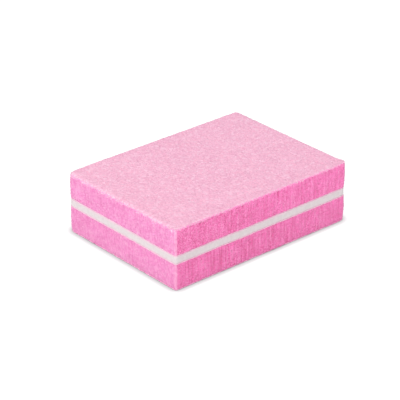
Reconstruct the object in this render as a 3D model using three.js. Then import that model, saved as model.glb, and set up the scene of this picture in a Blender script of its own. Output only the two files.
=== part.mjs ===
// Two-sided nail buffer block: two slabs of soft foam laminated to a stiff core strip, each slab
// with a coat of abrasive grain bonded to its outer face.
//
// Millimetres, +Z up. The origin is at the middle of the underside; +X runs along the block's
// length and +Y across its width. Every layer is its own solid, stacked from the underside up.
import * as THREE from "three";

// Driving dimensions.
const BLOCK_LENGTH = 35; // along X
const BLOCK_WIDTH = 25.8; // along Y
const CORNER_RADIUS = 0.8; // the four upright corners, as the cutting die leaves them
const CORNER_DIVISIONS = 4; // each becomes two facets of a rounded corner

const ABRASIVE_COAT = 0.15; // grain and the resin that holds it, on both outer faces
const FOAM_SLAB = 4.15; // the same foam sheet on both sides of the core
const GLUE_FILM = 0.1; // contact adhesive, on both faces of the core strip
const GLUE_SETBACK = 0.2; // how far the adhesive stops short of the cut edges
const CORE_STRIP = 1.3; // the stiff white strip in the middle

// A finish for each kind of layer: the colour, and how dull it is.
const finish = (color, roughness) => () =>
  new THREE.MeshStandardMaterial({ color, roughness, metalness: 0 });
const palePinkGrain = finish(0xf7bed6, 0.9);
const pinkFoam = finish(0xf08dc2, 0.85);
const clearGlue = finish(0xe9e2dc, 0.4);
const whiteCore = finish(0xf0edee, 0.55);

// The stack, from the underside up.
const layers = [
  { name: "bottom_abrasive", thickness: ABRASIVE_COAT, setback: 0, material: palePinkGrain },
  { name: "bottom_foam", thickness: FOAM_SLAB, setback: 0, material: pinkFoam },
  { name: "bottom_glue_film", thickness: GLUE_FILM, setback: GLUE_SETBACK, material: clearGlue },
  { name: "core_strip", thickness: CORE_STRIP, setback: 0, material: whiteCore },
  { name: "top_glue_film", thickness: GLUE_FILM, setback: GLUE_SETBACK, material: clearGlue },
  { name: "top_foam", thickness: FOAM_SLAB, setback: 0, material: pinkFoam },
  { name: "top_abrasive", thickness: ABRASIVE_COAT, setback: 0, material: palePinkGrain },
];

// The die-cut outline, a rectangle with rounded corners centred on the origin, drawn in from the
// block's edges by the setback.
function outline(setback) {
  const halfLength = BLOCK_LENGTH / 2 - setback;
  const halfWidth = BLOCK_WIDTH / 2 - setback;
  const radius = CORNER_RADIUS - setback;
  const shape = new THREE.Shape();
  shape.moveTo(radius - halfLength, -halfWidth);
  shape.absarc(halfLength - radius, radius - halfWidth, radius, -Math.PI / 2, 0);
  shape.absarc(halfLength - radius, halfWidth - radius, radius, 0, Math.PI / 2);
  shape.absarc(radius - halfLength, halfWidth - radius, radius, Math.PI / 2, Math.PI);
  shape.absarc(radius - halfLength, radius - halfWidth, radius, Math.PI, 1.5 * Math.PI);
  return shape;
}

// One layer: the outline raised to the layer's thickness, standing on z = 0.
function layerMesh({ name, thickness, setback, material }) {
  const geometry = new THREE.ExtrudeGeometry(outline(setback), {
    depth: thickness,
    bevelEnabled: false,
    curveSegments: CORNER_DIVISIONS,
  });
  const mesh = new THREE.Mesh(geometry, material());
  mesh.name = name;
  return mesh;
}

const bufferBlock = new THREE.Group();
let height = 0;
for (const layer of layers) {
  const mesh = layerMesh(layer);
  mesh.position.z = height;
  bufferBlock.add(mesh);
  height += layer.thickness;
}

export default bufferBlock;
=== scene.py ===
"""A two-sided nail buffer block: foam slabs, abrasive coats, core strip and glue films.

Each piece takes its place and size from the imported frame, in metres.
"""

import math

import bmesh
import bpy
import numpy as np
from bpy.props import FloatProperty, FloatVectorProperty, PointerProperty
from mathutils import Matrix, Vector


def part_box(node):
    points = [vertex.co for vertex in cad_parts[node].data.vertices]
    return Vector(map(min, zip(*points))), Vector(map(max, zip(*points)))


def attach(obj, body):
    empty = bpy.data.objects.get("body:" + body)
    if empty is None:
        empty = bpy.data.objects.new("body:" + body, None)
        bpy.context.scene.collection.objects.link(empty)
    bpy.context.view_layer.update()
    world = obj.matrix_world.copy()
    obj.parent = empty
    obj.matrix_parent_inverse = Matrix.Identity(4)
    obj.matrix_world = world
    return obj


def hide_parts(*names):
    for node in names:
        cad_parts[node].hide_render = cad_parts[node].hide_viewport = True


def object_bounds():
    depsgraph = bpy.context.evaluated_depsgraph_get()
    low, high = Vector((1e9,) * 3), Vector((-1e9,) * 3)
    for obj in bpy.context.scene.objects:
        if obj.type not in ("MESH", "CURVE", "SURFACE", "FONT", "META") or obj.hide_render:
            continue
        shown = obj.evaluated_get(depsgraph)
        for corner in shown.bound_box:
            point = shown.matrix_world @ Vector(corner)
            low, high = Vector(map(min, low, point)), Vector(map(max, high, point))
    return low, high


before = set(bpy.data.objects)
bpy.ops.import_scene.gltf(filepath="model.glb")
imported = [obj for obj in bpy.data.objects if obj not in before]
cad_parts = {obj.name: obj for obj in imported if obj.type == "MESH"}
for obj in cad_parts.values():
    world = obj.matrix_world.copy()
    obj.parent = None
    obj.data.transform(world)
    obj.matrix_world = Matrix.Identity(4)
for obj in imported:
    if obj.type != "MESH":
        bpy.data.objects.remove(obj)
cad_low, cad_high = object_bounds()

bl_info = {
    "name": "Nail buffer block",
    "version": (1, 0, 0),
    "blender": (4, 5, 0),
    "location": "3D View > Sidebar > Buffer block",
    "description": "Builds the foam, abrasive, core and glue of a nail buffer block",
    "category": "Add Mesh",
}

MM = 0.001
HALF_LENGTH = (cad_high.x - cad_low.x) / 2
HALF_WIDTH = (cad_high.y - cad_low.y) / 2
HEIGHT = cad_high.z - cad_low.z
MOST_CUTS = 90  # the subdivide operator takes no more than 100 cuts at a time
TINY = 1e-7  # metres; points closer than this lie at the same place
NO_LENGTH = 1e-12  # metres; keeps a division by a distance that may be 0 from failing
WEIGHT_STEPS = 50  # how finely a vertex group's weights are told apart
SHOULDER = 0.1 * MM  # how far the turn for the slab's shoulder stands above its wall at first
HEM_RISE = 0.02 * MM  # how far a coat's hem may rise above its first place
RIM_TURNS = (0.35, 0.35, 0.45, -0.15)  # the drop of each turn of a coat's rim, in thicknesses
KEY_PLACE = (-0.30, -0.16, 0.45)  # metres; the key light, which faces the block
FLOOR_SIZE = 6  # metres
FLOOR_GAP = 0.01 * MM  # keeps the floor from lying in the same plane as the block's underside


def length(name, description, default_mm, least=0):
    """A length setting, given in millimetres and kept in metres."""
    return FloatProperty(name=name, description=description, default=default_mm * MM,
                         min=least, unit="LENGTH", precision=5)


def colour(name, description, default):
    return FloatVectorProperty(name=name, description=description, default=default,
                               size=3, min=0, max=1, subtype="COLOR")


def amount(name, description, default, **more):
    return FloatProperty(name=name, description=description, default=default, min=0, **more)


def angle(name, description, degrees):
    return FloatProperty(name=name, description=description, default=math.radians(degrees),
                         subtype="ANGLE")


class BlockSettings(bpy.types.PropertyGroup):
    """The die-cut outline of all layers, and how the stack rolls down and waves at its edges."""

    near_corner: length("Near corner", "Radius of the upright corner at -X, -Y", 0.35)
    right_corner: length("Right corner", "Radius of the upright corner at +X, -Y", 1.1)
    far_corner: length("Far corner", "Radius of the upright corner at +X, +Y", 0.75)
    left_corner: length("Left corner", "Radius of the upright corner at -X, +Y", 1.3)
    roll: length("Roll", "How far the top face drops at its rim", 0.24)
    near_roll: length("Near roll", "How far it drops at the rim of the -Y side", 0.015)
    corner_roll: length("Corner roll", "How much further it drops at the -X, +Y corner", 0.12)
    roll_width: length("Roll width", "Width of the strip that drops", 0.6)
    near_reach: length("Near reach", "From the -Y side to where the full roll begins", 3.0)
    corner_reach: length("Corner reach", "How far the corner's further drop reaches", 3.5)
    wave: length("Wave", "How far the layers wander up and down at the cut edges", 0.07)
    wave_length: length("Wave length", "Distance between one rise and the next", 6.0)


class FoamSettings(bpy.types.PropertyGroup):
    """The two slabs of open-celled foam."""

    cell: length("Mesh cell", "Size of the mesh on the cut sides", 0.08)
    pore: length("Pore", "Distance between the larger pores", 0.34)
    pore_depth: length("Pore depth", "Depth of the larger pores", 0.07)
    fine_pore: length("Fine pore", "Distance between the fine pores", 0.17)
    fine_depth: length("Fine depth", "Depth of the fine pores", 0.08)
    drag: length("Knife drag", "Width of one upright line left by the knife", 0.4)
    drag_depth: length("Drag depth", "Depth of the lines on the long sides", 0.063)
    bow: length("Bow", "How far the sides spring out halfway up a slab", 0.06)
    edge: length("Edge", "How far the slab's rim draws in under the coat", 0.04)
    glued_edge: length("Glued edge", "How far the slab's rim draws in at the glue", 0.025)
    swell: length("Swell", "How unevenly the cut sides stand out", 0.10)
    swell_size: length("Swell size", "Distance from one swelling to the next", 2.4)
    fill: amount("Fill", "How full the foam is, from 0 to 1", 0.9, max=1)


class CoatSettings(bpy.types.PropertyGroup):
    """The coats of abrasive grain on the two outer faces."""

    cell: length("Mesh cell", "Size of the mesh on the face", 0.1)
    grain: length("Grain", "Distance from one large grain to the next", 0.37)
    grain_height: length("Grain height", "How far the large grains stand out", 0.09)
    grit: length("Grit", "Distance between the small grains", 0.21)
    grit_height: length("Grit height", "How far the small grains stand out", 0.04)
    overhang: length("Overhang", "How far the upper rim stands out over the foam", 0.015)
    tuck: length("Tuck", "How far the lower rim lies back under the foam", 0.08)
    teeth: length("Teeth", "How far single grains stand out of the rim", 0.035)
    ragged: length("Ragged", "How unevenly the rim hangs over the foam", 0.28)
    ragged_size: length("Ragged size", "Width of one rag of the rim", 0.6)
    swell: length("Swell", "How unevenly the face lies", 0.06)
    swell_size: length("Swell size", "Distance from one rise of the face to the next", 3.0)
    clump: length("Clump", "How far clumped grains stand out", 0.05)
    clump_size: length("Clump size", "Width of one clump", 0.2)


class LaminateSettings(bpy.types.PropertyGroup):
    """The core strip and the glue films."""

    cell: length("Mesh cell", "Size of the mesh on the cut edges", 0.12)
    core_edge: length("Core edge", "Radius of the core strip's long edges", 0.06)
    core_wobble: length("Core wobble", "Unevenness of the core strip's cut edge", 0.04)
    core_wave: length("Core wave", "Distance between that edge's slow rises", 2.0)
    core_mark: length("Core mark", "Width of one mark of the die on it", 0.2)
    glue_wobble: length("Glue wobble", "Unevenness of the glue's edge", 0.08)
    glue_bead: length("Glue bead", "Width of one bead of glue", 0.8)


class FinishSettings(bpy.types.PropertyGroup):
    """Colours of the materials."""

    # The ends' pink is partly the die cut and partly painted light; the long sides' pink is partly
    # the knife cut and partly painted shade.
    foam_end_with_painted_light: colour("Foam, short sides", "Pink of the foam's die-cut ends", (0.80, 0.270, 0.550))
    foam_side_with_painted_shade: colour("Foam, long sides", "Pink of the foam's knife-cut sides", (0.95, 0.214, 0.54))
    # Pale pink for flecks, lines, pore rims, the core's and glue's edges, and the painted highlight
    # down the upright corners.
    foam_pale_and_corner_highlight: colour("Foam, corners", "Pale pink of the upright corners", (0.86, 0.44, 0.62))
    # Deep pink of the dark flecks, lines and patches, and the painted shade in the pores and on the
    # lower slab.
    foam_deep_pink_and_pit_shade: colour("Foam, pores", "Deep pink in the pores of the long sides", (0.65, 0.08, 0.26))
    foam_shade: colour("Foam, shade", "Pink in the pores of the short sides", (0.63, 0.115, 0.33))
    grain: colour("Grain", "Pale pink of the grain", (0.765, 0.388, 0.535))
    grain_light: colour("Light grain", "Palest pink of the clearest grains", (0.88, 0.61, 0.73))
    grain_rose: colour("Rose grain", "Pink of the deeper coloured grains", (0.88, 0.40, 0.545))
    grain_deep: colour("Deep grain", "Pink between the grains", (0.67, 0.325, 0.46))
    core: colour("Core strip", "Off-white of the core strip", (0.655, 0.585, 0.60))
    glue: colour("Glue", "Cream of the glue film", (0.82, 0.57, 0.66))


class StageSettings(bpy.types.PropertyGroup):
    """Camera, floor and lights."""

    azimuth: angle("Azimuth", "Camera's direction round the block", -40.96)
    elevation: angle("Elevation", "Camera's height above the horizon", 26.83)
    distance: length("Distance", "From the block to the camera", 292.5)
    lens: amount("Lens", "Focal length in millimetres", 168.1)
    aim_across: length("Aim across", "Camera's aim, to its own right", -1.22, least=-1)
    aim_up: length("Aim up", "Camera's aim, upwards in its view", 3.79, least=-1)
    sky: amount("Sky", "Strength of the even light from all round", 0.70)
    horizon: amount("Horizon", "Strength of the bright strip where the floor meets the sky", 1.15)
    horizon_top: amount("Horizon top", "Where that strip has faded out, as a sine", 0.2)
    horizon_full: amount("Horizon full", "Up to where it is at full strength, as a sine", 0.06)
    key: amount("Key light", "Power of the large light at the left, in watts", 2.2)
    key_size: length("Key size", "Width of that light", 300)
    floor: colour("Floor", "Colour of the floor", (0.2, 0.2, 0.2))
    floor_glow: amount("Floor glow", "Light that the translucent floor gives off", 0.9)
    # The contact shade is painted into the floor's colour and glow.
    contact: length("Contact shade", "Reach of the shade where the block meets the floor", 1.3)
    contact_glow: colour("Contact glow", "What is left of the glow there", (0.16, 0.12, 0.14))


def settings():
    return bpy.context.scene.buffer_block


class BufferBlock(bpy.types.PropertyGroup):
    """All settings of the block."""

    block: PointerProperty(type=BlockSettings)
    foam: PointerProperty(type=FoamSettings)
    coat: PointerProperty(type=CoatSettings)
    laminate: PointerProperty(type=LaminateSettings)
    finish: PointerProperty(type=FinishSettings)
    stage: PointerProperty(type=StageSettings)


# Mesh tools


def pick(piece):
    """Leaves only this piece selected and active."""
    bpy.ops.object.select_all(action="DESELECT")
    piece.select_set(True)
    bpy.context.view_layer.objects.active = piece


def points(piece):
    """The piece's vertices as an array of rows x, y, z."""
    flat = np.empty(len(piece.data.vertices) * 3, np.float32)
    piece.data.vertices.foreach_get("co", flat)
    return flat.reshape(-1, 3).astype(float)


def move_points(piece, places):
    piece.data.vertices.foreach_set("co", places.astype(np.float32).ravel())
    piece.data.update()


def weight(piece, name, values):
    """A vertex group of that name with one weight for each vertex."""
    group = piece.vertex_groups.new(name=name)
    steps = np.round(np.clip(values, 0, 1) * WEIGHT_STEPS).astype(int)
    for step in np.unique(steps[steps > 0]):
        group.add(np.flatnonzero(steps == step).tolist(), step / WEIGHT_STEPS, "REPLACE")
    return name


def smooth(values, start, end):
    """0 before start, 1 after end, and a soft rise between."""
    t = np.clip((values - start) / (end - start), 0, 1)
    return t * t * (3 - 2 * t)


def corner_radius(x, y):
    """The outline's corner radius in the quarter of the block where each point lies."""
    block = settings().block
    near_side = np.where(x < 0, block.near_corner, block.right_corner)
    far_side = np.where(x < 0, block.left_corner, block.far_corner)
    return np.where(y < 0, near_side, far_side)


def outward(places):
    """For points near the outline, the unit vector that points out of the block."""
    x, y = places[:, 0], places[:, 1]
    radius = corner_radius(x, y)
    out_x = x - np.clip(x, radius - HALF_LENGTH, HALF_LENGTH - radius)
    out_y = y - np.clip(y, radius - HALF_WIDTH, HALF_WIDTH - radius)
    size = np.maximum(np.hypot(out_x, out_y), NO_LENGTH)
    return np.stack([out_x / size, out_y / size, np.zeros(len(x))], 1)


def inset_of(places):
    """How far each point lies inside the outline."""
    x, y = np.abs(places[:, 0]), np.abs(places[:, 1])
    radius = corner_radius(places[:, 0], places[:, 1])
    over_x = x - (HALF_LENGTH - radius)
    over_y = y - (HALF_WIDTH - radius)
    in_corner = (over_x > 0) & (over_y > 0)
    flat = np.minimum(HALF_LENGTH - x, HALF_WIDTH - y)
    return np.where(in_corner, radius - np.hypot(over_x, over_y), flat)


def rim_drop(places):
    """How far the block's upper rim lies below its top face, beside each point."""
    block = settings().block
    near = 1 - smooth(places[:, 1] + HALF_WIDTH, 0, block.near_reach)
    from_corner = np.hypot(places[:, 0] + HALF_LENGTH, places[:, 1] - HALF_WIDTH)
    at_corner = 1 - smooth(from_corner, 0, block.corner_reach)
    return block.roll + (block.near_roll - block.roll) * near + block.corner_roll * at_corner


def select_edges(piece, chosen):
    """In edit mode, selects the edges that chosen(one end, other end) accepts."""
    shape = bmesh.from_edit_mesh(piece.data)
    bpy.ops.mesh.select_mode(type="EDGE")
    bpy.ops.mesh.select_all(action="DESELECT")
    for edge in shape.edges:
        if chosen(edge.verts[0].co, edge.verts[1].co):
            edge.select_set(True)
    bmesh.update_edit_mesh(piece.data)


def cut_into(piece, count, chosen):
    """In edit mode, cuts the chosen edges into about count lengths, in one or two passes."""
    first = count if count <= MOST_CUTS else round(math.sqrt(count))
    second = 1 if count <= MOST_CUTS else math.ceil(count / first)
    for lengths in (first, second):
        if lengths > 1:
            select_edges(piece, chosen)
            bpy.ops.mesh.subdivide(number_cuts=lengths - 1)


def upright(a, b):
    return abs(a.z - b.z) > TINY


def select_level(piece, level):
    """In edit mode, selects the edges that lie flat at that level."""
    select_edges(piece, lambda a, b: abs(a.z - level) < TINY and abs(b.z - level) < TINY)


def die_cut_wall(name, low, high, cell):
    """The cut side of one layer, all round the block: a fine even mesh with open ends."""
    bpy.ops.object.select_all(action="DESELECT")
    bpy.ops.mesh.primitive_cube_add(size=1, location=(low + high) / 2, scale=high - low)
    piece = bpy.context.object
    piece.name = piece.data.name = name
    bpy.ops.object.transform_apply(location=True, rotation=True, scale=True)
    bpy.ops.object.mode_set(mode="EDIT")
    for side_x in (-1, 1):
        for side_y in (-1, 1):
            radius = float(corner_radius(np.array([side_x]), np.array([side_y]))[0])
            radius -= HALF_LENGTH - high.x

            def at_corner(a, b):
                same_side = a.x * side_x > 0 and a.y * side_y > 0
                return same_side and abs(a.x - b.x) + abs(a.y - b.y) < TINY

            select_edges(piece, at_corner)
            arc_cells = max(3, round(radius * math.pi / 2 / cell))
            bpy.ops.mesh.bevel(offset=radius, segments=arc_cells, affect="EDGES")
    bpy.ops.mesh.select_mode(type="FACE")
    bpy.ops.mesh.select_all(action="DESELECT")
    shape = bmesh.from_edit_mesh(piece.data)
    for face in shape.faces:
        face.select_set(abs(face.normal.z) > 0.9)
    bmesh.update_edit_mesh(piece.data)
    bpy.ops.mesh.delete(type="ONLY_FACE")
    cut_into(piece, round((high.z - low.z) / cell), upright)
    cut_into(piece, round(2 * high.x / cell), lambda a, b: abs(a.x - b.x) > 2 * cell)
    cut_into(piece, round(2 * high.y / cell), lambda a, b: abs(a.y - b.y) > 2 * cell)
    bpy.ops.object.mode_set(mode="OBJECT")
    return piece


def close_ends(piece):
    """Closes the two open ends of a wall with flat faces, and turns all faces outwards."""
    pick(piece)
    bpy.ops.object.mode_set(mode="EDIT")
    for side in (min, max):
        select_level(piece, side(corner[2] for corner in piece.bound_box))
        bpy.ops.mesh.edge_face_add()
    bpy.ops.object.mode_set(mode="OBJECT")
    face_outwards(piece)


def ruler(name, stretch_z=1):
    """An empty that measures a displacement texture in millimetres, drawn out by stretch_z."""
    bpy.ops.object.select_all(action="DESELECT")
    bpy.ops.object.empty_add(type="PLAIN_AXES")
    empty = bpy.context.object
    empty.name = name
    empty.scale = (MM, MM, MM * stretch_z)
    bpy.context.view_layer.update()
    return empty


def remove(thing):
    pick(thing)
    bpy.ops.object.delete()


def relief(piece, texture, by, strength, rest=0.5, group="", direction="NORMAL"):
    """Moves the piece's surface by a texture, measured with the ruler by, and applies it."""
    pick(piece)
    bpy.ops.object.modifier_add(type="DISPLACE")
    modifier = piece.modifiers[-1]
    modifier.texture = texture
    modifier.texture_coords = "OBJECT"
    modifier.texture_coords_object = by
    modifier.direction = direction
    modifier.strength = strength
    modifier.mid_level = rest
    modifier.vertex_group = group
    bpy.ops.object.modifier_apply(modifier=modifier.name)


def cloud_pattern(name, size, depth=1, contrast=1.0):
    """Soft random swellings of that size."""
    texture = bpy.data.textures.new(name, "CLOUDS")
    texture.noise_scale = size / MM
    texture.noise_depth = depth
    texture.contrast = contrast
    return texture


def cell_pattern(name, size, gain, metric="DISTANCE"):
    """Cells of that size: 0 at each one's middle, rising to 1 at gain times its edge."""
    texture = bpy.data.textures.new(name, "VORONOI")
    texture.noise_scale = size / MM
    texture.distance_metric = metric
    texture.noise_intensity = gain
    return texture


def keep_numbers(piece, name, values):
    """Stores one number for each vertex, for a material to read."""
    attribute = piece.data.attributes.new(name, "FLOAT", "POINT")
    attribute.data.foreach_set("value", values.astype(np.float32))


def face_outwards(piece):
    pick(piece)
    bpy.ops.object.mode_set(mode="EDIT")
    bpy.ops.mesh.select_all(action="SELECT")
    bpy.ops.mesh.normals_make_consistent(inside=False)
    bpy.ops.object.mode_set(mode="OBJECT")


def dress(piece, node, material):
    """Gives the piece its material and its body, and hides the CAD node that it stands for."""
    piece.data.materials.append(material)
    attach(piece, "root")
    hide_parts(node)


# Materials


class Nodes:
    """A material's node tree, with a short way to add a node and wire it up."""

    def __init__(self, name):
        self.material = bpy.data.materials.new(name)
        self.material.use_nodes = True
        self.tree = self.material.node_tree
        self.tree.nodes.clear()

    def add(self, kind, inputs=(), **settings_of_node):
        node = self.tree.nodes.new(kind)
        for name, value in settings_of_node.items():
            setattr(node, name, value)
        for key, value in dict(inputs).items():
            self.feed(node, key, value)
        return node

    def feed(self, node, key, value):
        """Links a socket to the node's input, or sets the input to a plain value."""
        if isinstance(value, bpy.types.NodeSocket):
            self.tree.links.new(value, node.inputs[key])
        else:
            node.inputs[key].default_value = value

    def millimetres(self, stretch_z=1):
        """Object coordinates in millimetres, with the pattern drawn out upwards by stretch_z."""
        where = self.add("ShaderNodeTexCoord").outputs["Object"]
        scale = (1 / MM, 1 / MM, 1 / MM / stretch_z)
        return self.add("ShaderNodeMapping", {"Vector": where, "Scale": scale}).outputs[0]

    def axes(self, where):
        """The x, y and z of a place."""
        return self.add("ShaderNodeSeparateXYZ", {0: where}).outputs

    def channels(self, tint):
        """The three numbers of a colour."""
        return self.add("ShaderNodeSeparateColor", {0: tint}).outputs

    def noise(self, where, size, detail=2.0, rough=0.5):
        inputs = {"Vector": where, "Scale": 1 / size, "Detail": detail, "Roughness": rough}
        return self.add("ShaderNodeTexNoise", inputs).outputs["Fac"]

    def cells(self, where, size, output="Distance"):
        inputs = {"Vector": where, "Scale": 1 / size}
        return self.add("ShaderNodeTexVoronoi", inputs).outputs[output]

    def math(self, operation, a, b=0.0):
        return self.add("ShaderNodeMath", {0: a, 1: b}, operation=operation).outputs[0]

    def plus(self, a, b):
        return self.math("ADD", a, b)

    def minus(self, a, b):
        return self.math("SUBTRACT", a, b)

    def times(self, a, b):
        return self.math("MULTIPLY", a, b)

    def spread(self, value, low, high, to_low=0.0, to_high=1.0, smoothly=False):
        """Maps low..high to to_low..to_high, held at both ends."""
        inputs = {"Value": value, "From Min": low, "From Max": high,
                  "To Min": to_low, "To Max": to_high}
        kind = "SMOOTHSTEP" if smoothly else "LINEAR"
        return self.add("ShaderNodeMapRange", inputs, interpolation_type=kind).outputs[0]

    def mix(self, how_much, a, b):
        """Mixes two colours; a colour is a socket or three numbers."""
        node = self.add("ShaderNodeMix", {"Factor": how_much}, data_type="RGBA")
        for key, value in ((6, a), (7, b)):
            is_socket = isinstance(value, bpy.types.NodeSocket)
            self.feed(node, key, value if is_socket else (*value, 1))
        return node.outputs[2]

    def stored(self, name):
        return self.add("ShaderNodeAttribute", attribute_name=name).outputs["Fac"]

    def roughness(self, where, size, low, high):
        """A roughness that wanders between low and high in patches of that size."""
        return self.spread(self.noise(where, size), 0.3, 0.7, low, high)

    def bump(self, height, distance_mm, strength):
        inputs = {"Height": height, "Distance": distance_mm * MM, "Strength": strength}
        return self.add("ShaderNodeBump", inputs).outputs[0]

    def surface(self, **inputs):
        named = {key.replace("_", " "): value for key, value in inputs.items()}
        shader = self.add("ShaderNodeBsdfPrincipled", named)
        self.add("ShaderNodeOutputMaterial", {"Surface": shader.outputs[0]})
        return self.material


# Sizes of the materials' patterns, in millimetres.
KNIFE_LINE = 0.34
FOAM_FLECK = 0.3
FOAM_PATCH = 2.2
FOAM_MICRO = 0.09
FOAM_FUZZ = 0.06
DUST = 0.24
DUST_DRIFT = 1.2
GRAIN_TINT = 0.34
GRAIN_PATCH = 0.6
GRAIN_FACET = 0.13
LOOSE_GRAIN = 0.25
RIM_CHIP = 0.2
CORE_STAIN = 0.45
GLUE_CREEP = 0.7


def sides_of_block(n, x, y):
    """How much each point belongs to a long side, and how much to a rounded upright corner."""
    inner, outer = 0.4, 0.15  # a side begins over this strip, in millimetres from the outline
    half_length, half_width = HALF_LENGTH / MM, HALF_WIDTH / MM
    beside_long = n.spread(n.math("ABSOLUTE", y), half_width - inner, half_width - outer,
                           smoothly=True)
    clear_of_end = n.spread(n.math("ABSOLUTE", x), half_length - inner, half_length - outer,
                            1, 0, smoothly=True)
    long_side = n.times(beside_long, clear_of_end)
    corner = n.times(beside_long, n.minus(1.0, clear_of_end))
    return long_side, corner


def foam_material():
    """Open-celled foam: its pink on each pair of sides, partly its own and partly painted light and
    shade, with pores and the knife's lines. The upright corners carry a painted highlight, and the
    modelled pores and the lower slab carry painted shade.
    """
    finish = settings().finish
    n = Nodes("pink_foam")
    where = n.millimetres()
    x, y, z = n.axes(where)
    long_side, corner = sides_of_block(n, x, y)
    middle = HEIGHT / MM / 2
    upper_long_side = n.times(long_side, n.spread(z, middle, middle + 0.1))
    porous = n.times(upper_long_side, n.spread(x, -11, 1, 1, 0.35))
    pit = n.mix(long_side, finish.foam_shade, finish.foam_deep_pink_and_pit_shade)

    # Painted light and shade: the short ends take a paler pink and the long sides a deeper one,
    # partly from the two cuts and partly for how the key light falls on each.
    base = n.mix(long_side, finish.foam_end_with_painted_light, finish.foam_side_with_painted_shade)
    # Painted highlight: a pale strip down each rounded upright corner.
    base = n.mix(n.times(corner, 0.7), base, finish.foam_pale_and_corner_highlight)
    base = with_knife_lines(n, base, pit, long_side, porous, x)
    base = with_speckle(n, base, pit, long_side)
    base = with_open_pores(n, base, pit, where, porous)

    # Painted shade: the lower slab is painted a little deeper and duller, where less light reaches
    # it. Both slabs have soft deeper patches.
    base = n.mix(n.spread(z, middle - 0.55, middle + 0.45, 0.15, 0), base, pit)
    base = n.mix(n.times(n.minus(long_side, upper_long_side), 0.045), base, (0, 0, 0))
    base = n.mix(n.spread(n.noise(where, FOAM_PATCH), 0.35, 0.68, 0, 0.22), base, pit)

    # Painted shade: the modelled pores and lines are painted deeper pink at their bottoms, where
    # shade falls in them.
    sunk = n.spread(n.stored("pore_depth"), -0.02, 0.10, 0, 0.85)
    base = n.mix(n.times(sunk, n.spread(long_side, 0, 1, 0.72, 1)), base, pit)
    base = with_dust(n, base, where, long_side)

    micro, fuzz = n.cells(where, FOAM_MICRO), n.noise(where, FOAM_FUZZ)
    height = n.plus(n.times(micro, 0.7), n.times(fuzz, 0.5))
    return n.surface(Base_Color=base, Roughness=n.roughness(where, 0.3, 0.78, 0.95),
                     Sheen_Weight=0.2, Sheen_Roughness=0.6, Specular_IOR_Level=0.3,
                     Normal=n.bump(height, 0.035, 0.8))


def with_knife_lines(n, base, pit, long_side, porous, x):
    """Upright deep and pale lines: strong on the long sides, fading towards +X."""
    lines = n.noise(n.millimetres(stretch_z=14), KNIFE_LINE, 3, 0.6)
    strength = n.minus(n.spread(long_side, 0, 1, 0.2, 0.85), n.times(porous, 0.3))
    strength = n.times(strength, n.spread(x, -2, 15, 1, 0.55))
    base = n.mix(n.times(n.spread(lines, 0.46, 0.68), strength), base, pit)
    return n.mix(n.spread(lines, 0.46, 0.3, 0, 0.35), base, settings().finish.foam_pale_and_corner_highlight)


def with_speckle(n, base, pit, long_side):
    """Pale and deep flecks of the cells' cut walls, strongest on the short sides."""
    speckle = n.noise(n.millimetres(stretch_z=1.7), FOAM_FLECK, 2, 0.55)
    strength = n.spread(long_side, 0, 1, 1, 0.4)
    pale = n.times(n.spread(speckle, 0.48, 0.68, 0, 0.55), strength)
    base = n.mix(pale, base, settings().finish.foam_pale_and_corner_highlight)
    return n.mix(n.times(n.spread(speckle, 0.5, 0.34, 0, 0.4), strength), base, pit)


def with_open_pores(n, base, pit, where, porous):
    """Fine open pores with pale rims, on the upper slab's long sides."""
    pores = n.noise(where, settings().foam.fine_pore / MM, 1)
    base = n.mix(n.times(n.spread(pores, 0.52, 0.36, 0, 0.85), porous), base, pit)
    rims = n.times(n.spread(pores, 0.52, 0.68, 0, 0.3), porous)
    return n.mix(rims, base, settings().finish.foam_pale_and_corner_highlight)


def with_dust(n, base, where, long_side):
    """Pale grains shed by the coats, thickest beside the upper coat and drifting off below it."""
    near_coat = n.spread(n.stored("from_coat"), 0.15, 1.2, 0.12, -0.1)
    drifts = n.spread(n.noise(where, DUST_DRIFT), 0.3, 0.7, -0.12, 0.12)
    near_coat = n.minus(n.plus(near_coat, drifts), n.times(long_side, 0.1))
    dust = n.plus(n.noise(where, DUST, 2, 0.6), near_coat)
    return n.mix(n.spread(dust, 0.62, 0.74, 0, 0.7), base, settings().finish.grain_light)


def abrasive_material():
    """Grains of clear to pale pink abrasive in resin, lighter at their tips."""
    finish = settings().finish
    n = Nodes("abrasive_coat")
    where = n.millimetres()
    tips = n.spread(n.stored("grain_height"), 0.1, 0.75)
    base = n.mix(tips, finish.grain_deep, finish.grain)

    # Each grain takes its own tint: some are clearer, some deeper, some more rose.
    clear, deep, rose = n.channels(n.cells(where, GRAIN_TINT, "Color"))
    base = n.mix(n.spread(clear, 0.6, 0.95, 0, 0.45), base, finish.grain_light)
    base = n.mix(n.spread(deep, 0.72, 1.0, 0, 0.25), base, finish.grain_deep)
    base = n.mix(n.spread(rose, 0.55, 1.0, 0, 0.5), base, finish.grain_rose)
    patches = n.spread(n.noise(where, GRAIN_PATCH), 0.38, 0.66, 0, 0.2)
    base = n.mix(patches, base, finish.grain_light)
    base = n.mix(n.spread(n.stored("from_rim"), 0, 1.8, 0.2, 0), base, finish.grain_deep)
    # Darker towards the rims of the +X and +Y sides.
    base = n.mix(n.times(n.stored("far_rim_darkening"), 0.7), base, finish.grain_deep)
    base = with_frayed_rims(n, base, where)

    tilt = n.channels(n.cells(where, GRAIN_FACET, "Color"))[2]
    height = n.plus(tilt, n.times(n.cells(where, GRAIN_FACET), -0.8))
    return n.surface(Base_Color=base, Roughness=n.spread(rose, 0.7, 1.0, 0.8, 0.35),
                     Specular_IOR_Level=0.45, Normal=n.bump(height, 0.03, 0.7))


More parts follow.
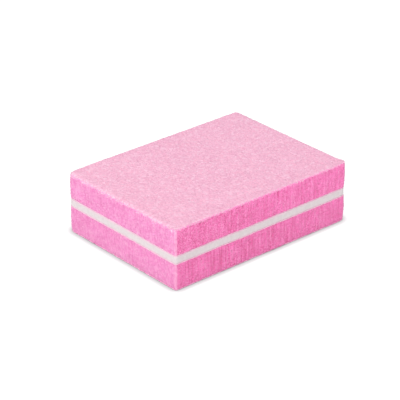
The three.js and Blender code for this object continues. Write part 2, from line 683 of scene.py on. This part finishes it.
def with_frayed_rims(n, base, where):
    """The rims of the -X and -Y sides: paler loose grains, and chips that bare the foam."""
    finish = settings().finish
    x, y = n.axes(where)[:2]
    from_long = n.plus(y, HALF_WIDTH / MM)
    from_end = n.plus(x, HALF_LENGTH / MM)
    nearer = n.math("MINIMUM", from_long, n.plus(from_end, 0.05))
    frayed = n.plus(n.noise(where, LOOSE_GRAIN, 2, 0.6), n.spread(nearer, 0, 1.0, 0.1, -0.2))
    base = n.mix(n.spread(frayed, 0.5, 0.62, 0, 0.5), base, finish.grain_light)
    chipped = n.plus(n.noise(where, RIM_CHIP, 2, 0.6), n.spread(nearer, 0, 0.5, 0.1, -0.25))
    return n.mix(n.spread(chipped, 0.5, 0.62, 0, 0.85), base, finish.foam_side_with_painted_shade)


def core_material():
    """Off-white sheet with faint dull marks from the die, tinged pink at its two edges."""
    finish = settings().finish
    n = Nodes("core_strip")
    where = n.millimetres()
    dull = [c * s for c, s in zip(finish.core, (0.88, 0.84, 0.85))]
    stains = n.spread(n.noise(n.millimetres(stretch_z=1.4), CORE_STAIN), 0.38, 0.7, 0, 0.6)
    base = n.mix(stains, finish.core, dull)
    from_middle = n.math("ABSOLUTE", n.minus(n.axes(where)[2], HEIGHT / MM / 2))
    base = n.mix(n.spread(from_middle, 0.35, 0.65, 0, 0.5), base, finish.foam_pale_and_corner_highlight)
    height = n.plus(n.noise(where, 0.12, 3), n.noise(n.millimetres(stretch_z=6), 0.1))
    return n.surface(Base_Color=base, Roughness=n.roughness(where, 0.4, 0.45, 0.65),
                     Normal=n.bump(height, 0.02, 0.3))


def glue_material():
    """Set contact glue, cream to pink where the foam's colour has crept into it."""
    finish = settings().finish
    n = Nodes("glue_film")
    where = n.millimetres()
    creep = n.spread(n.noise(where, GLUE_CREEP), 0.4, 0.65, 0, 0.8)
    base = n.mix(creep, finish.glue, finish.foam_pale_and_corner_highlight)
    return n.surface(Base_Color=base, Roughness=n.roughness(where, 0.2, 0.35, 0.6),
                     Normal=n.bump(n.noise(where, 0.08), 0.02, 0.5))


# Pieces


def wave_layers(piece, by, share_of_wave):
    """Lets a layer wander up and down with its neighbours, by its share of the block's wave."""
    block = settings().block
    group = weight(piece, "wave", share_of_wave)
    texture = cloud_pattern("layer_wave", block.wave_length, 2)
    relief(piece, texture, by, block.wave * 2, group=group, direction="Z")


def foam_slab(name, node, straight, stretched, coat_on_top):
    """One slab: die-cut walls with pores and knife lines, closed where it is glued."""
    low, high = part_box(node)
    piece = die_cut_wall(name, low, high, settings().foam.cell)
    if coat_on_top:
        add_shoulder(piece, high.z)
    start = points(piece)
    shoulder = start[:, 2] > high.z + TINY
    out = outward(start)
    to_bottom, to_top = start[:, 2] - low.z, high.z - start[:, 2]
    at_rim = np.minimum(to_bottom, to_top) < TINY
    height = np.clip(to_bottom / (high.z - low.z), 0, 1)
    keep_numbers(piece, "from_coat", (cad_high.z - start[:, 2]) / MM)
    start += out * side_profile(height, to_bottom, to_top, coat_on_top)[:, None]
    if coat_on_top:
        start[:, 2] -= rim_drop(start) * smooth(height, 0.8, 1) * ~shoulder
        start[shoulder] -= out[shoulder] * settings().block.roll_width
        start[shoulder, 2] = high.z
    move_points(piece, start)
    smooth_shape = points(piece)

    open_the_foam(piece, straight, stretched, start, out, ~shoulder)
    rough_shape = points(piece)
    rough_shape[:, 2] = np.where(at_rim, start[:, 2], rough_shape[:, 2])
    move_points(piece, rough_shape)
    sunk = ((smooth_shape - rough_shape) * out).sum(1)
    keep_numbers(piece, "pore_depth", sunk / MM)
    close_ends(piece)
    middle = 1 - np.abs(2 * (points(piece)[:, 2] - cad_low.z) / HEIGHT - 1)
    wave_layers(piece, straight, smooth(middle, 0, 0.8))
    bpy.ops.object.shade_smooth()
    return piece


def add_shoulder(piece, level):
    """Adds one more turn of faces above the wall's upper end, for the slab's rounded rim."""
    pick(piece)
    bpy.ops.object.mode_set(mode="EDIT")
    select_level(piece, level)
    bpy.ops.mesh.extrude_region_move(TRANSFORM_OT_translate={"value": (0, 0, SHOULDER)})
    bpy.ops.object.mode_set(mode="OBJECT")


def side_profile(height, to_bottom, to_top, coat_on_top):
    """How far a slab's side stands out: bowed halfway up, and drawn in at its two rims."""
    foam = settings().foam
    bow = foam.bow * (4 * height * (1 - height) - 0.4)
    at_glue = (to_bottom < to_top) == coat_on_top
    edge = np.where(at_glue, foam.glued_edge, foam.edge)
    from_rim = np.minimum(to_bottom, to_top)
    return bow - edge * (1 - smooth(from_rim, 0, 3 * foam.edge)) ** 2


def knife_gusts(x):
    """How hard the knife dragged at each place along the block, between 0.3 and 1."""
    along = x / MM
    return 0.65 + 0.35 * np.sin(along / 2.1 + 1) * np.sin(along / 3.4 + 0.5)


def open_the_foam(piece, straight, stretched, places, out, on_wall):
    """Gives a slab's walls their swellings, knife lines and pores, calmer at the -X, -Y corner."""
    foam = settings().foam
    name = piece.name
    to_corner = np.hypot(places[:, 0] + HALF_LENGTH, places[:, 1] + HALF_WIDTH)
    away_from_corner = 0.15 + 0.85 * smooth(to_corner, 0.2 * MM, 0.7 * MM)
    wall_weights = away_from_corner * on_wall
    walls = weight(piece, "walls", wall_weights)
    on_long_side = 0.25 + 0.75 * np.abs(out[:, 1]) ** 2
    long_weights = on_long_side * wall_weights * knife_gusts(places[:, 0])
    long_walls = weight(piece, "long_walls", long_weights)
    swell = cloud_pattern(name + "_swell", foam.swell_size, 2)
    relief(piece, swell, straight, foam.swell, 0.6, walls)
    drag = cloud_pattern(name + "_drag", foam.drag, 2, 1.6)
    relief(piece, drag, stretched, foam.drag_depth * 2, 0.62, long_walls)
    pores = cell_pattern(name + "_pores", foam.pore, 2.4)
    relief(piece, pores, straight, foam.pore_depth, 0.8, long_walls)
    fine = cell_pattern(name + "_fine_pores", foam.fine_pore, 2.0)
    relief(piece, fine, straight, foam.fine_depth, 0.8, walls)


def abrasive_coat(name, node, straight, faces_up):
    """One coat: a fine field of grains whose ragged rim rolls over the edge of the foam."""
    coat = settings().coat
    low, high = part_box(node)
    thick = high.z - low.z
    piece = coat_blank(name, high - low, thick)
    shape_rim(piece, thick, coat.overhang if faces_up else -coat.tuck, faces_up)

    flat = points(piece)
    inset = inset_of(flat)
    out = outward(flat)
    on_rim = inset < 0.12 * MM
    on_hem = (flat[:, 2] < 0.5 * thick) & (inset < 0.02 * MM)
    near_side = np.clip(-out[:, 0] - 0.6 * out[:, 1], 0.1, 1)
    hem_weights = np.where(on_hem, np.maximum(near_side, 0.5), 0)
    fray_rim(piece, straight, flat, hem_weights, np.where(on_rim, near_side, 0))
    level = points(piece)[:, 2]
    away_from_rim = 0.3 + 0.7 * smooth(inset, 0, 0.35 * MM)
    grow_grains(piece, straight, np.where(on_hem, 0, away_from_rim))
    final = points(piece)
    rise = (final[:, 2] - level) / (coat.grain_height + coat.grit_height) + 0.5
    far_side = np.clip(out[:, 0] + out[:, 1], 0, 1)
    keep_numbers(piece, "grain_height", rise)
    keep_numbers(piece, "from_rim", inset / MM)
    # How much darker the coat is at the rims of the +X and +Y sides.
    keep_numbers(piece, "far_rim_darkening", (1 - smooth(inset, 0, 0.2 * MM)) * far_side)

    highest_grains = np.percentile(final[:, 2], 99.9)
    final[:, 2] -= highest_grains - thick
    if faces_up:
        final[:, 2] += low.z
    else:
        final[:, 2] = np.maximum(high.z - final[:, 2], cad_low.z)
    move_points(piece, final)
    face_outwards(piece)
    bpy.ops.object.shade_flat()
    return piece


def coat_blank(name, size, thick):
    """A plain coat that faces up on z = 0: a fine grid with its rim turned down, closed below."""
    cell = settings().coat.cell
    bpy.ops.object.select_all(action="DESELECT")
    bpy.ops.mesh.primitive_grid_add(
        x_subdivisions=round(size.x / cell), y_subdivisions=round(size.y / cell),
        size=1, location=(0, 0, thick))
    piece = bpy.context.object
    piece.scale = (size.x, size.y, 1)
    piece.name = piece.data.name = name
    bpy.ops.object.transform_apply(location=True, rotation=True, scale=True)
    round_off_corners(piece)
    bpy.ops.object.mode_set(mode="EDIT")
    select_edges(piece, lambda a, b: False)
    bpy.ops.mesh.select_non_manifold(extend=False)
    for drop in RIM_TURNS:
        bpy.ops.mesh.extrude_region_move(
            TRANSFORM_OT_translate={"value": (0, 0, -drop * thick)})
    bpy.ops.mesh.edge_face_add()
    bpy.ops.object.mode_set(mode="OBJECT")
    return piece


def fray_rim(piece, straight, flat, hem_weights, rim_weights):
    """Hangs the hem unevenly, never much above where it was, and lets single grains stick out."""
    coat = settings().coat
    hem = weight(piece, "hem", hem_weights)
    rim = weight(piece, "rim", rim_weights)
    ragged = cloud_pattern(piece.name + "_ragged", coat.ragged_size, 3, 1.7)
    relief(piece, ragged, straight, -coat.ragged * 2, 0.33, hem, "Z")
    hung = points(piece)
    hung[:, 2] = np.minimum(hung[:, 2], flat[:, 2] + HEM_RISE)
    move_points(piece, hung)
    teeth = cell_pattern(piece.name + "_teeth", coat.grain, 1.4)
    relief(piece, teeth, straight, -coat.teeth, 0.6, rim)


def grow_grains(piece, straight, face_weights):
    """Raises the face into slow swellings, large grains, small grains and clumps."""
    coat = settings().coat
    name = piece.name
    face = weight(piece, "face", face_weights)
    swell = cloud_pattern(name + "_swell", coat.swell_size, 2)
    relief(piece, swell, straight, coat.swell, group=face)
    grains = cell_pattern(name + "_grains", coat.grain, 1.3, "DISTANCE_SQUARED")
    relief(piece, grains, straight, -coat.grain_height, 0.6, face)
    grit = cell_pattern(name + "_grit", coat.grit, 1.3)
    relief(piece, grit, straight, -coat.grit_height, 0.6, face)
    clumps = cloud_pattern(name + "_clumps", coat.clump_size, 1)
    relief(piece, clumps, straight, coat.clump, group=face)


def round_off_corners(piece):
    """Draws the grid's four square corners in to the outline's arcs."""
    grid = points(piece)
    x, y = grid[:, 0], grid[:, 1]
    radius = corner_radius(x, y)
    over_x = np.maximum(np.abs(x) - (HALF_LENGTH - radius), 0)
    over_y = np.maximum(np.abs(y) - (HALF_WIDTH - radius), 0)
    far = np.hypot(over_x, over_y)
    pull = np.where(far > 0, np.maximum(over_x, over_y) / np.maximum(far, NO_LENGTH), 1)
    grid[:, 0] = np.sign(x) * (np.abs(x) - over_x * (1 - pull))
    grid[:, 1] = np.sign(y) * (np.abs(y) - over_y * (1 - pull))
    move_points(piece, grid)


def shape_rim(piece, thick, overhang, rolled):
    """Rolls the face down towards its rim, swells the rim and tucks its last turn in."""
    block = settings().block
    shape = points(piece)
    out = outward(shape)
    drop = (thick - shape[:, 2]) / thick
    inset = inset_of(shape)
    on_rim = inset < 10 * TINY
    last_turn = on_rim & np.isclose(drop, sum(RIM_TURNS), atol=1e-3)
    near_rim = 1 - smooth(inset, 0, block.roll_width)
    swell = np.where(on_rim, overhang * np.sin(np.clip(drop, 0, 1) * math.pi / 2), 0)
    shape += out * np.where(last_turn, -block.roll_width, swell)[:, None]
    if rolled:
        shape[:, 2] -= np.where(last_turn, 0, rim_drop(shape) * near_rim)
    move_points(piece, shape)


def core_strip(name, node, straight, stretched):
    """The stiff strip: a clean cut edge with slightly eased corners and a faint wobble."""
    laminate = settings().laminate
    low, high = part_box(node)
    piece = die_cut_wall(name, low, high, laminate.cell)
    start = points(piece)
    from_rim = np.minimum(start[:, 2] - low.z, high.z - start[:, 2])
    eased = laminate.core_edge * (1 - smooth(from_rim, 0, 2 * laminate.core_edge)) ** 2
    move_points(piece, start - outward(start) * eased[:, None])
    walls = weight(piece, "walls", np.ones(len(start)))
    swell = cloud_pattern(name + "_swell", laminate.core_wave, 2)
    relief(piece, swell, straight, laminate.core_wobble * 2, 0.6, walls)
    marks = cloud_pattern(name + "_marks", laminate.core_mark, 2)
    relief(piece, marks, stretched, laminate.core_wobble, 0.6, walls)
    flat = points(piece)
    flat[:, 2] = np.where(from_rim < TINY, start[:, 2], flat[:, 2])
    move_points(piece, flat)
    close_ends(piece)
    wave_layers(piece, straight, np.ones(len(piece.data.vertices)))
    bpy.ops.object.shade_smooth()
    return piece


def glue_film(name, node, straight):
    """One film of glue, whose edge lies now short of the cut and now flush with it."""
    laminate = settings().laminate
    low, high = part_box(node)
    setback = HALF_LENGTH - high.x
    grown = Vector((setback, setback, 0))
    piece = die_cut_wall(name, low - grown, high + grown, laminate.cell)
    start = points(piece)
    walls = weight(piece, "walls", np.ones(len(start)))
    beads = cloud_pattern(name + "_beads", laminate.glue_bead, 2, 1.4)
    relief(piece, beads, straight, laminate.glue_wobble, 0.6, walls)
    flat = points(piece)
    flat[:, 2] = start[:, 2]
    move_points(piece, flat)
    close_ends(piece)
    wave_layers(piece, straight, np.ones(len(piece.data.vertices)))
    bpy.ops.object.shade_smooth()
    return piece


# Operators


class MakeFoamSlabs(bpy.types.Operator):
    """Make the two foam slabs"""

    bl_idname = "buffer_block.foam_slabs"
    bl_label = "Foam slabs"

    def execute(self, context):
        straight, stretched = ruler("straight"), ruler("stretched", 10)
        material = foam_material()
        for side in ("bottom", "top"):
            node = side + "_foam"
            piece = foam_slab(node + "_slab", node, straight, stretched, side == "top")
            dress(piece, node, material)
        remove(straight)
        remove(stretched)
        return {"FINISHED"}


class MakeAbrasiveCoats(bpy.types.Operator):
    """Make the abrasive coats on the top and the bottom face"""

    bl_idname = "buffer_block.abrasive_coats"
    bl_label = "Abrasive coats"

    def execute(self, context):
        straight = ruler("straight")
        material = abrasive_material()
        for side in ("bottom", "top"):
            node = side + "_abrasive"
            piece = abrasive_coat(node + "_coat", node, straight, side == "top")
            dress(piece, node, material)
        remove(straight)
        return {"FINISHED"}


class MakeCore(bpy.types.Operator):
    """Make the stiff strip between the slabs"""

    bl_idname = "buffer_block.core_strip"
    bl_label = "Core strip"

    def execute(self, context):
        straight, stretched = ruler("straight"), ruler("stretched", 6)
        piece = core_strip("core_strip_sheet", "core_strip", straight, stretched)
        dress(piece, "core_strip", core_material())
        remove(straight)
        remove(stretched)
        return {"FINISHED"}


class MakeGlueFilms(bpy.types.Operator):
    """Make the two films of glue that hold the slabs to the core strip"""

    bl_idname = "buffer_block.glue_films"
    bl_label = "Glue films"

    def execute(self, context):
        straight = ruler("straight")
        material = glue_material()
        for side in ("bottom", "top"):
            node = side + "_glue_film"
            piece = glue_film(side + "_glue", node, straight)
            dress(piece, node, material)
        remove(straight)
        return {"FINISHED"}


class MakeStage(bpy.types.Operator):
    """Make the camera, the floor and the lights"""

    bl_idname = "buffer_block.stage"
    bl_label = "Stage"

    def execute(self, context):
        make_camera()
        make_floor()
        make_lights()
        context.scene.view_settings.view_transform = "Standard"
        return {"FINISHED"}


def make_camera():
    stage = settings().stage
    a, e = stage.azimuth, stage.elevation
    back = Vector((math.sin(a) * math.cos(e), -math.cos(a) * math.cos(e), math.sin(e)))
    right = Vector((math.cos(a), math.sin(a), 0))
    up = back.cross(right)
    place = back * stage.distance + right * stage.aim_across + up * stage.aim_up
    bpy.ops.object.camera_add(location=place)
    camera = bpy.context.object
    camera.name = "camera"
    camera.rotation_euler = back.to_track_quat("Z", "Y").to_euler()
    camera.data.lens = stage.lens
    camera.data.sensor_width = 36
    camera.data.clip_start = 10 * MM
    bpy.context.scene.camera = camera


def make_floor():
    stage = settings().stage
    bpy.ops.object.select_all(action="DESELECT")
    bpy.ops.mesh.primitive_plane_add(size=FLOOR_SIZE, location=(0, 0, cad_low.z - FLOOR_GAP))
    floor = bpy.context.object
    floor.name = "floor"
    n = Nodes("floor")
    # Painted contact shadow: ambient occlusion darkens the floor's colour and glow beside the
    # block.
    open_share = n.add("ShaderNodeAmbientOcclusion", {"Distance": stage.contact}).outputs["AO"]
    plain = n.mix(open_share, (0, 0, 0), stage.floor)
    glow = n.mix(open_share, stage.contact_glow, (1, 1, 1))
    floor.data.materials.append(n.surface(
        Base_Color=plain, Roughness=1.0, Specular_IOR_Level=0.0,
        Emission_Color=glow, Emission_Strength=stage.floor_glow))


def make_lights():
    stage = settings().stage
    world = bpy.data.worlds.new("studio")
    world.use_nodes = True
    nodes, links = world.node_tree.nodes, world.node_tree.links
    direction = nodes.new("ShaderNodeTexCoord").outputs["Generated"]
    axes = nodes.new("ShaderNodeSeparateXYZ")
    strength = nodes.new("ShaderNodeMapRange")
    strength.inputs["From Min"].default_value = stage.horizon_full
    strength.inputs["From Max"].default_value = stage.horizon_top
    strength.inputs["To Min"].default_value = stage.horizon
    strength.inputs["To Max"].default_value = stage.sky
    links.new(direction, axes.inputs[0])
    links.new(axes.outputs[2], strength.inputs["Value"])
    links.new(strength.outputs[0], nodes["Background"].inputs["Strength"])
    nodes["Background"].inputs["Color"].default_value = (1, 1, 1, 1)
    bpy.context.scene.world = world
    bpy.ops.object.light_add(type="AREA", location=KEY_PLACE)
    key = bpy.context.object
    key.name = "key_light"
    key.rotation_euler = Vector(KEY_PLACE).to_track_quat("Z", "Y").to_euler()
    key.data.energy = stage.key
    key.data.shape = "SQUARE"
    key.data.size = stage.key_size


class BufferBlockPanel(bpy.types.Panel):
    """Lists the pieces and their settings"""

    bl_idname = "VIEW3D_PT_buffer_block"
    bl_label = "Buffer block"
    bl_space_type = "VIEW_3D"
    bl_region_type = "UI"
    bl_category = "Buffer block"

    def draw(self, context):
        for operator in OPERATORS:
            self.layout.operator(operator.bl_idname)
        for group_name in BufferBlock.__annotations__:
            group = getattr(context.scene.buffer_block, group_name)
            box = self.layout.box()
            box.label(text=group_name.capitalize())
            for name in type(group).__annotations__:
                box.prop(group, name)


SETTINGS = (BlockSettings, FoamSettings, CoatSettings, LaminateSettings, FinishSettings,
            StageSettings, BufferBlock)
OPERATORS = (MakeStage, MakeFoamSlabs, MakeAbrasiveCoats, MakeCore, MakeGlueFilms)


def register():
    for each in (*SETTINGS, *OPERATORS, BufferBlockPanel):
        bpy.utils.register_class(each)
    bpy.types.Scene.buffer_block = PointerProperty(type=BufferBlock)


def unregister():
    del bpy.types.Scene.buffer_block
    for each in reversed((*SETTINGS, *OPERATORS, BufferBlockPanel)):
        bpy.utils.unregister_class(each)


def main():
    register()
    bpy.ops.buffer_block.stage()
    bpy.ops.buffer_block.foam_slabs()
    bpy.ops.buffer_block.core_strip()
    bpy.ops.buffer_block.glue_films()
    bpy.ops.buffer_block.abrasive_coats()


if __name__ == "__main__":
    main()
